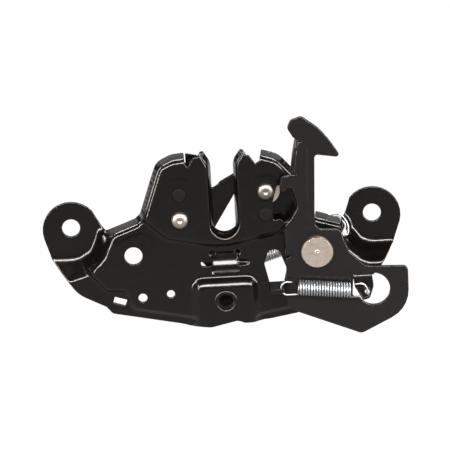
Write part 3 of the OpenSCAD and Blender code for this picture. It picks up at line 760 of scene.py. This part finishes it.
def rolledRows(front, back, normal, outward, edge):
    # rows of points from the front round the edge to the back
    steps = sheetRules["rimSteps"]
    turns = [math.pi / 2 * i / steps for i in range(steps + 1)]
    upper = front - edge * (outward + normal)
    lower = back - edge * (outward - normal)
    rows = [upper + edge * (normal * math.cos(turn) + outward * math.sin(turn)) for turn in turns]
    rows += [lower + edge * (outward * math.cos(turn) - normal * math.sin(turn)) for turn in turns]
    return rows


def thickSheet(title, front, cells, rings, rim, settings, stands, limits):
    # gives a surface its thickness and rolls its edges
    onRim, before, after = rim
    mean = neighbourMeans(len(front), cells)
    normal = cornerNormals(front, cells)
    for _ in range(sheetRules["normalTurns"]):
        normal = unit(normal + mean(normal))
    back = front - normal * settings["thick"]
    back[:, 1] = np.minimum(back[:, 1], limits)
    outward = unit(np.cross(front[after] - front[before], normal))
    outward *= -np.sign(np.sum(outward * (mean(front) - front), axis=1))[:, None]
    rows = rolledRows(front, back, normal, outward, settings["edge"])
    front[onRim] = rows[0][onRim]
    back[onRim] = rows[-1][onRim]
    count = len(front)
    corners = [front, back]
    faces = [tuple(map(int, c)) for c in cells] + [tuple(int(i) + count for i in c[::-1]) for c in cells]
    base = 2 * count
    between = len(rows) - 2
    for ring in rings:
        size = len(ring)
        lines = [ring]
        lines += [list(range(base + k * size, base + (k + 1) * size)) for k in range(between)]
        lines.append([count + i for i in ring])
        corners.extend(row[ring] for row in rows[1:-1])
        base += size * between
        for upper, lower in zip(lines, lines[1:]):
            for i in range(size):
                j = (i + 1) % size
                faces.append((upper[i], lower[i], lower[j], upper[j]))
    piece = smoothPiece(title, np.vstack(corners) * mm, faces, finishOf[stands])
    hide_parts(stands)
    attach(piece, next(body for body, members in bodies.items() if stands in members))
    print(title, "pressed:", len(faces), "faces,", len(rings), "edges")


pressedSheet("base_plate", sheetSettings["base_plate"], keepAll, plateForm)
pressedSheet("safety_lever", sheetSettings["safety_lever"], hookTongue, leverForm)


# smaller sheets, drawn flat and bent
def roundedOutline(corners, spacing):
    # corners are (x, z, radius)
    line = []
    count = len(corners)
    for i, (x, z, radius) in enumerate(corners):
        here = np.array((x, z))
        if radius == 0:
            line.append(here)
            continue
        toward = np.array(corners[i - 1][:2]) - here
        onward = np.array(corners[(i + 1) % count][:2]) - here
        toward = toward / np.linalg.norm(toward)
        onward = onward / np.linalg.norm(onward)
        half = math.acos(np.clip(toward @ onward, -1, 1)) / 2
        turn = math.pi - 2 * half
        middle = here + (toward + onward) / np.linalg.norm(toward + onward) * radius / math.sin(half)
        start = here + toward * radius / math.tan(half) - middle
        end = here + onward * radius / math.tan(half) - middle
        for t in np.linspace(0, 1, sheetRules["arcSteps"]):
            arm = start * math.sin((1 - t) * turn) + end * math.sin(t * turn)
            line.append(middle + arm / math.sin(turn))
    return splitRuns(line, spacing)


def circleLoop(x, z, radius, count):
    turns = np.linspace(0, 2 * math.pi, count, endpoint=False)
    return [(x + radius * math.cos(t), z + radius * math.sin(t)) for t in turns]


def smoothLine(places, steps):
    # a curve through all the places
    places = np.array(places, float)
    ends = np.vstack([2 * places[0] - places[1], places, 2 * places[-1] - places[-2]])
    line = []
    for a, b, c, d in zip(ends, ends[1:], ends[2:], ends[3:]):
        second = 2 * a - 5 * b + 4 * c - d
        third = 3 * b - a - 3 * c + d
        for t in np.arange(steps) / steps:
            line.append(0.5 * (2 * b + (c - a) * t + second * t ** 2 + third * t ** 3))
    return line + [places[-1]]


def insideLoops(point, shapes):
    crossings = 0
    for shape in shapes:
        a, b = shape, np.roll(shape, -1, axis=0)
        spans = (a[:, 1] > point[1]) != (b[:, 1] > point[1])
        slope = (b[:, 0] - a[:, 0]) / np.where(b[:, 1] == a[:, 1], 1e-9, b[:, 1] - a[:, 1])
        crossings += int(np.sum(spans & (point[0] < a[:, 0] + (point[1] - a[:, 1]) * slope)))
    return crossings % 2 == 1


def filledSheet(title, loops, place, settings, stands):
    # fills the flat loops with a grid, bends it by place(a, b) and makes it a sheet
    grid = settings["grid"]
    places = [p for loop in loops for p in loop]
    tree = placeTree([(a, 0, b) for a, b in places])
    low = np.min(loops[0], axis=0)
    high = np.max(loops[0], axis=0)
    inner = []
    for a in np.arange(low[0] + grid / 2, high[0], grid):
        for b in np.arange(low[1] + grid / 2, high[1], grid):
            if tree.find((a, 0, b))[2] > sheetRules["smallGap"] * grid:
                inner.append((a, b))
    made, cells, _, rings = fillRings([Vector(p) for p in places + inner], numberedRings(loops))
    shapes = [np.array(loop) for loop in loops]
    cells = np.array([c for c in cells if insideLoops(cellMiddle(made, c), shapes)])
    front = np.array([place(p.x, p.y) for p in made])
    onRim, before, after = rimLinks(len(made), rings)
    facing = faceSum(front, cells)
    if facing[2] - facing[1] < 0:
        cells = cells[:, ::-1]
    used = np.zeros(len(made), bool)
    used[cells] = True
    number = np.cumsum(used) - 1
    rings = [[int(number[i]) for i in ring] for ring in rings]
    rim = onRim[used], number[before[used]], number[after[used]]
    thickSheet(title, front[used], number[cells], rings, rim, settings, stands, sheetRules["noLimit"])


# tongue for the right spring hook, bent forward out of the lever
tongueSettings = {
    "outline": [(64.2, -26.2, 0), (64.8, -31.0, 2), (68.6, -36.9, 1),
                (72.2, -36.0, 2), (74.3, -31.2, 3), (73.6, -26.2, 0)],
    "hole": (70.9, -33.6, 1.25), "holeSides": 20, "spacing": 0.5,
    "root": -27.0, "slope": 0.83, "front": -20.95, "blend": 1.2, "thick": 2.4, "grid": 0.5, "edge": 0.36,
}


def leverTongue(title, settings):
    def place(x, z):
        drop = settings["root"] - z
        lean = math.log1p(math.exp(min(40, drop / settings["blend"] * 2))) * settings["blend"] / 2
        return (x, settings["front"] - settings["slope"] * lean, z)

    outline = roundedOutline(settings["outline"], settings["spacing"])
    hole = circleLoop(*settings["hole"], settings["holeSides"])
    filledSheet(title, [outline, hole], place, settings, "safety_lever")


leverTongue("hookTongue", tongueSettings)


# small pieces drawn on the plate
dotSettings = {
    "radius": 3.2, "rise": 0.62, "edge": 0.16, "edgeSteps": 3, "flat": 2.6, "sunk": 0.4, "sides": 40,
    "shadowLeft": 0.15, "shadowDrop": 0.45, "shadowRise": 0.06, "shadowFrom": 2.4, "shadowTo": 3.55,
}


def tubeFaces(rows, sides):
    faces = []
    for row in range(rows - 1):
        for i in range(sides):
            j = (i + 1) % sides
            faces.append((row * sides + i, row * sides + j, (row + 1) * sides + j, (row + 1) * sides + i))
    return faces


def turnedMesh(title, profile, centre, finish, sides):
    # profile is [radius, y] in mm, turned about the Y axis through centre = (x, z)
    corners = []
    for radius, y in profile:
        corners += [(x * mm, y * mm, z * mm) for x, z in circleLoop(*centre, radius, sides)]
    piece = smoothPiece(title, corners, tubeFaces(len(profile), sides), finish)
    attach(piece, "frame")


def pressedDot(title, centre, level, settings):
    front = level - settings["rise"]
    edge = settings["edge"]
    radius = settings["radius"]
    profile = [(0.02, front), (settings["flat"], front)]
    for i in range(settings["edgeSteps"] + 1):
        turn = math.pi / 2 * i / settings["edgeSteps"]
        profile.append((radius - edge + edge * math.sin(turn), front + edge - edge * math.cos(turn)))
    profile.append((radius, level + settings["sunk"]))
    turnedMesh(title, profile, centre, dotFace, settings["sides"])
    # the dark ring is set lower and to the left of the dot, so a crescent of painted shadow shows under it
    low = (centre[0] - settings["shadowLeft"], centre[1] - settings["shadowDrop"])
    ring = [(settings[end], level - settings["shadowRise"]) for end in ("shadowFrom", "shadowTo")]
    turnedMesh(title + "PaintedShadow", ring, low, dotShadowFinish, settings["sides"])


for dotNumber, dotPlace in enumerate(sheetSettings["base_plate"]["dots"]):
    pressedDot("pressedDot%d" % (dotNumber + 1), dotPlace[:2], dotPlace[3], dotSettings)
print("dots pressed")


# keyhole tab: a strip bent forward from the plate, with the hole for the spring hook
tabSettings = {
    "left": 22.4, "right": 30.2, "tip": -28.3, "top": -30.2, "bend": 3.0, "plateBack": -10.0, "lower": -34.2,
    "corner": 1.8, "hole": (27.85, -25.5, 1.3), "holeSides": 20, "thick": 2.0, "grid": 0.5, "edge": 0.3,
}


def bentTab(title, settings):
    flatEnd = settings["plateBack"] - settings["bend"]
    run = flatEnd - settings["tip"]
    arc = settings["bend"] * math.pi / 2
    length = run + arc + (settings["top"] - settings["bend"] - settings["lower"])

    def place(x, s):
        if s <= run:
            return (x, settings["tip"] + s, settings["top"])
        if s <= run + arc:
            turn = (s - run) / settings["bend"]
            drop = settings["bend"] * (1 - math.cos(turn))
            return (x, flatEnd + settings["bend"] * math.sin(turn), settings["top"] - drop)
        return (x, settings["plateBack"], settings["top"] - settings["bend"] - (s - run - arc))

    left, right, corner = settings["left"], settings["right"], settings["corner"]
    corners = [(left, 0, corner), (right, 0, corner), (right, length, 0), (left, length, 0)]
    holeX, holeY, holeRadius = settings["hole"]
    hole = circleLoop(holeX, holeY - settings["tip"], holeRadius, settings["holeSides"])
    filledSheet(title, [roundedOutline(corners, settings["grid"]), hole], place, settings, "base_plate")


bentTab("springTab", tabSettings)


# right end of the small flange behind the lever
flangeSettings = {
    "left": 51.6, "right": 59.2, "line": (46.2, -0.9), "fall": 0.3167,
    # y and height of the bent profile
    "profile": [(-12, -3), (-12, 0), (-11.71, 1.13), (-10.96, 2.05), (-9.87, 2.57), (-4, 3.97)],
    "steps": 8, "slant": (1.5, 4), "corner": 2.2, "thick": 2.0, "grid": 0.5, "edge": 0.3,
}


def flangeEnd(title, settings):
    curve = np.array(smoothLine([(0, y, z) for y, z in settings["profile"]], settings["steps"]))
    runs = np.concatenate([[0], np.cumsum(np.linalg.norm(np.diff(curve, axis=0), axis=1))])

    def place(x, s):
        base = settings["line"][1] - settings["fall"] * (x - settings["line"][0])
        return (x, float(np.interp(s, runs, curve[:, 1])), base + float(np.interp(s, runs, curve[:, 2])))

    left, right, corner = settings["left"], settings["right"], settings["corner"]
    across, up = settings["slant"]
    top = runs[-1]
    corners = [(left, 0, 0), (right - across, 0, 0), (right, up, corner)]
    corners += [(right, top, corner), (left, top, 0)]
    filledSheet(title, [roundedOutline(corners, settings["grid"])], place, settings, "base_plate")


flangeEnd("flangeEnd", flangeSettings)


# thread in the nut and the ring round its mouth
threadSettings = {
    "centre": (0.2, -38.9), "root": 4.18, "crest": 3.72, "pitch": 1.25,
    "from": -15.25, "to": -9.0, "sides": 40,
    "mouthFoot": [(6.1, -14.95), (5.95, -15.4)],  # radius and y of the ring's outer wall
    "mouthRound": (5.1, -14.9), "mouthSize": (0.95, 0.65), "mouthSteps": 10, "mouthSides": 72,
}


def nutThread(settings):
    profile = []
    y = settings["from"]
    while y < settings["to"]:
        profile += [(settings["root"], y), (settings["crest"], y + 0.5 * settings["pitch"])]
        y += settings["pitch"]
    turnedMesh("nutThread", profile, settings["centre"], darkNut, settings["sides"])
    middle, level = settings["mouthRound"]
    wide, deep = settings["mouthSize"]
    mouth = list(settings["mouthFoot"])
    for turn in np.linspace(0.5 * math.pi, math.pi, settings["mouthSteps"]):
        mouth.append((middle + wide * math.cos(turn), level - deep * math.sin(turn)))
    turnedMesh("nutMouth", mouth, settings["centre"], coat, settings["mouthSides"])


nutThread(threadSettings)
print("nut threaded")


# springs as smooth wire
springSettings = {
    "wire": 0.46, "sides": 9, "perTurn": 26, "hookSteps": 14, "lineSteps": 8,
    "front": {"coil": 3.5, "start": (36.8, -25.5, -30.4), "end": (62.6, -25.5, -33.2), "turns": 19,
              "hookLeft": (31.2, -30.6), "hookRight": (67.6, -33.4), "hook": 3.3,
              "openLeft": 2.6, "openRight": -2.8, "openDrop": 0.2},
    "rear": {"coil": 3.05, "tail": (-0.151, -24.889), "aim": (58.4, -6.4),
             "start": 10.0, "end": 41.0, "turns": 24,
             "level": -5.95, "legLevel": -2.9, "tailLevel": -7.3,
             # steps from the tail to the leg
             "leg": [(0, -1.6, 0), (0.15, -0.7, 0.05), (0.6, -0.15, 0.2), (1.4, 0, 0.45)],
             # x, y, z of the double hook that goes over the flange and into the hole of the right ear
             "hook": [(44, -2.6, -8.4), (50, -2.4, -3.4), (54.4, -2.4, -0.4), (58.2, -3.4, 0.5),
                      (61.2, -5.0, -0.9), (63.1, -6.6, -4.2), (63.2, -8.0, -7.4), (62.0, -9.2, -9.0),
                      (61.2, -8.6, -7.2), (61.8, -6.8, -4.4), (60.2, -5.2, -2.1), (57.8, -3.2, -0.9),
                      (54.2, -2.3, -1.9)]},
}


def wireMesh(title, line, settings, stands):
    line = np.array(line, float)
    sides = settings["sides"]
    along = unit(np.gradient(line, axis=0))
    across = np.cross(along[0], (0, 0, 1) if abs(along[0][2]) < 0.9 else (1, 0, 0))
    corners = []
    for p, t in zip(line, along):
        across = across - t * (across @ t)
        across /= np.linalg.norm(across)
        other = np.cross(t, across)
        for i in range(sides):
            turn = 2 * math.pi * i / sides
            corners.append((p + settings["wire"] * (math.cos(turn) * across + math.sin(turn) * other)) * mm)
    faces = tubeFaces(len(line), sides)
    faces.append(tuple(range(sides))[::-1])
    faces.append(tuple(range((len(line) - 1) * sides, len(line) * sides)))
    piece = smoothPiece(title, corners, faces, bright)
    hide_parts(stands)
    return piece


def coilLine(start, end, radius, turns, phase, perTurn):
    start, end = np.array(start), np.array(end)
    along = (end - start) / np.linalg.norm(end - start)
    up = np.cross(along, (0, 1, 0))
    up /= np.linalg.norm(up)
    side = np.cross(along, up)
    count = int(turns * perTurn)
    line = []
    for i in range(count + 1):
        turn = phase + 2 * math.pi * i / perTurn
        arm = math.cos(turn) * up + math.sin(turn) * side
        line.append(start + (end - start) * i / count + radius * arm)
    return line


def frontSpring(settings):
    part = settings["front"]
    y = part["start"][1]
    r = part["hook"]
    turns = np.linspace(0, math.pi, settings["hookSteps"])

    def hook(centre, way):
        return [(centre[0] + way * r * math.sin(t), y, centre[1] - r * math.cos(t)) for t in turns]

    leftX, leftZ = part["hookLeft"]
    rightX, rightZ = part["hookRight"]
    rise = r - part["openDrop"]
    line = [(leftX + part["openLeft"], y, leftZ + rise)] + hook(part["hookLeft"], -1)[::-1]
    line += coilLine(part["start"], part["end"], part["coil"], part["turns"], math.pi, settings["perTurn"])
    line += hook(part["hookRight"], 1) + [(rightX + part["openRight"], y, rightZ + rise)]
    piece = wireMesh("frontSpring", line, settings, "lever_spring")
    Vector(part["start"]) * mm
    Vector(part["end"]) * mm
    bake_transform(piece)


def rearSpring(settings):
    part = settings["rear"]
    tail = np.array(part["tail"])
    along = part["aim"] - tail
    along /= np.linalg.norm(along)
    startX, startZ = tail + part["start"] * along
    endX, endZ = tail + part["end"] * along
    line = [(tail[0], part["tailLevel"], tail[1])]
    line += [(tail[0] + dx, part["legLevel"] + dy, tail[1] + dz) for dx, dy, dz in part["leg"]]
    coilStart = (startX, part["level"], startZ)
    coilEnd = (endX, part["level"], endZ)
    line += coilLine(coilStart, coilEnd, part["coil"], part["turns"], 1.5 * math.pi, settings["perTurn"])
    steps = settings["lineSteps"]
    line += smoothLine([tuple(line[-2]), tuple(line[-1])] + part["hook"], steps)[steps:]
    piece = wireMesh("rearSpring", line, settings, "fork_spring")
    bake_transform(piece)


frontSpring(springSettings)
rearSpring(springSettings)
print("springs wound")
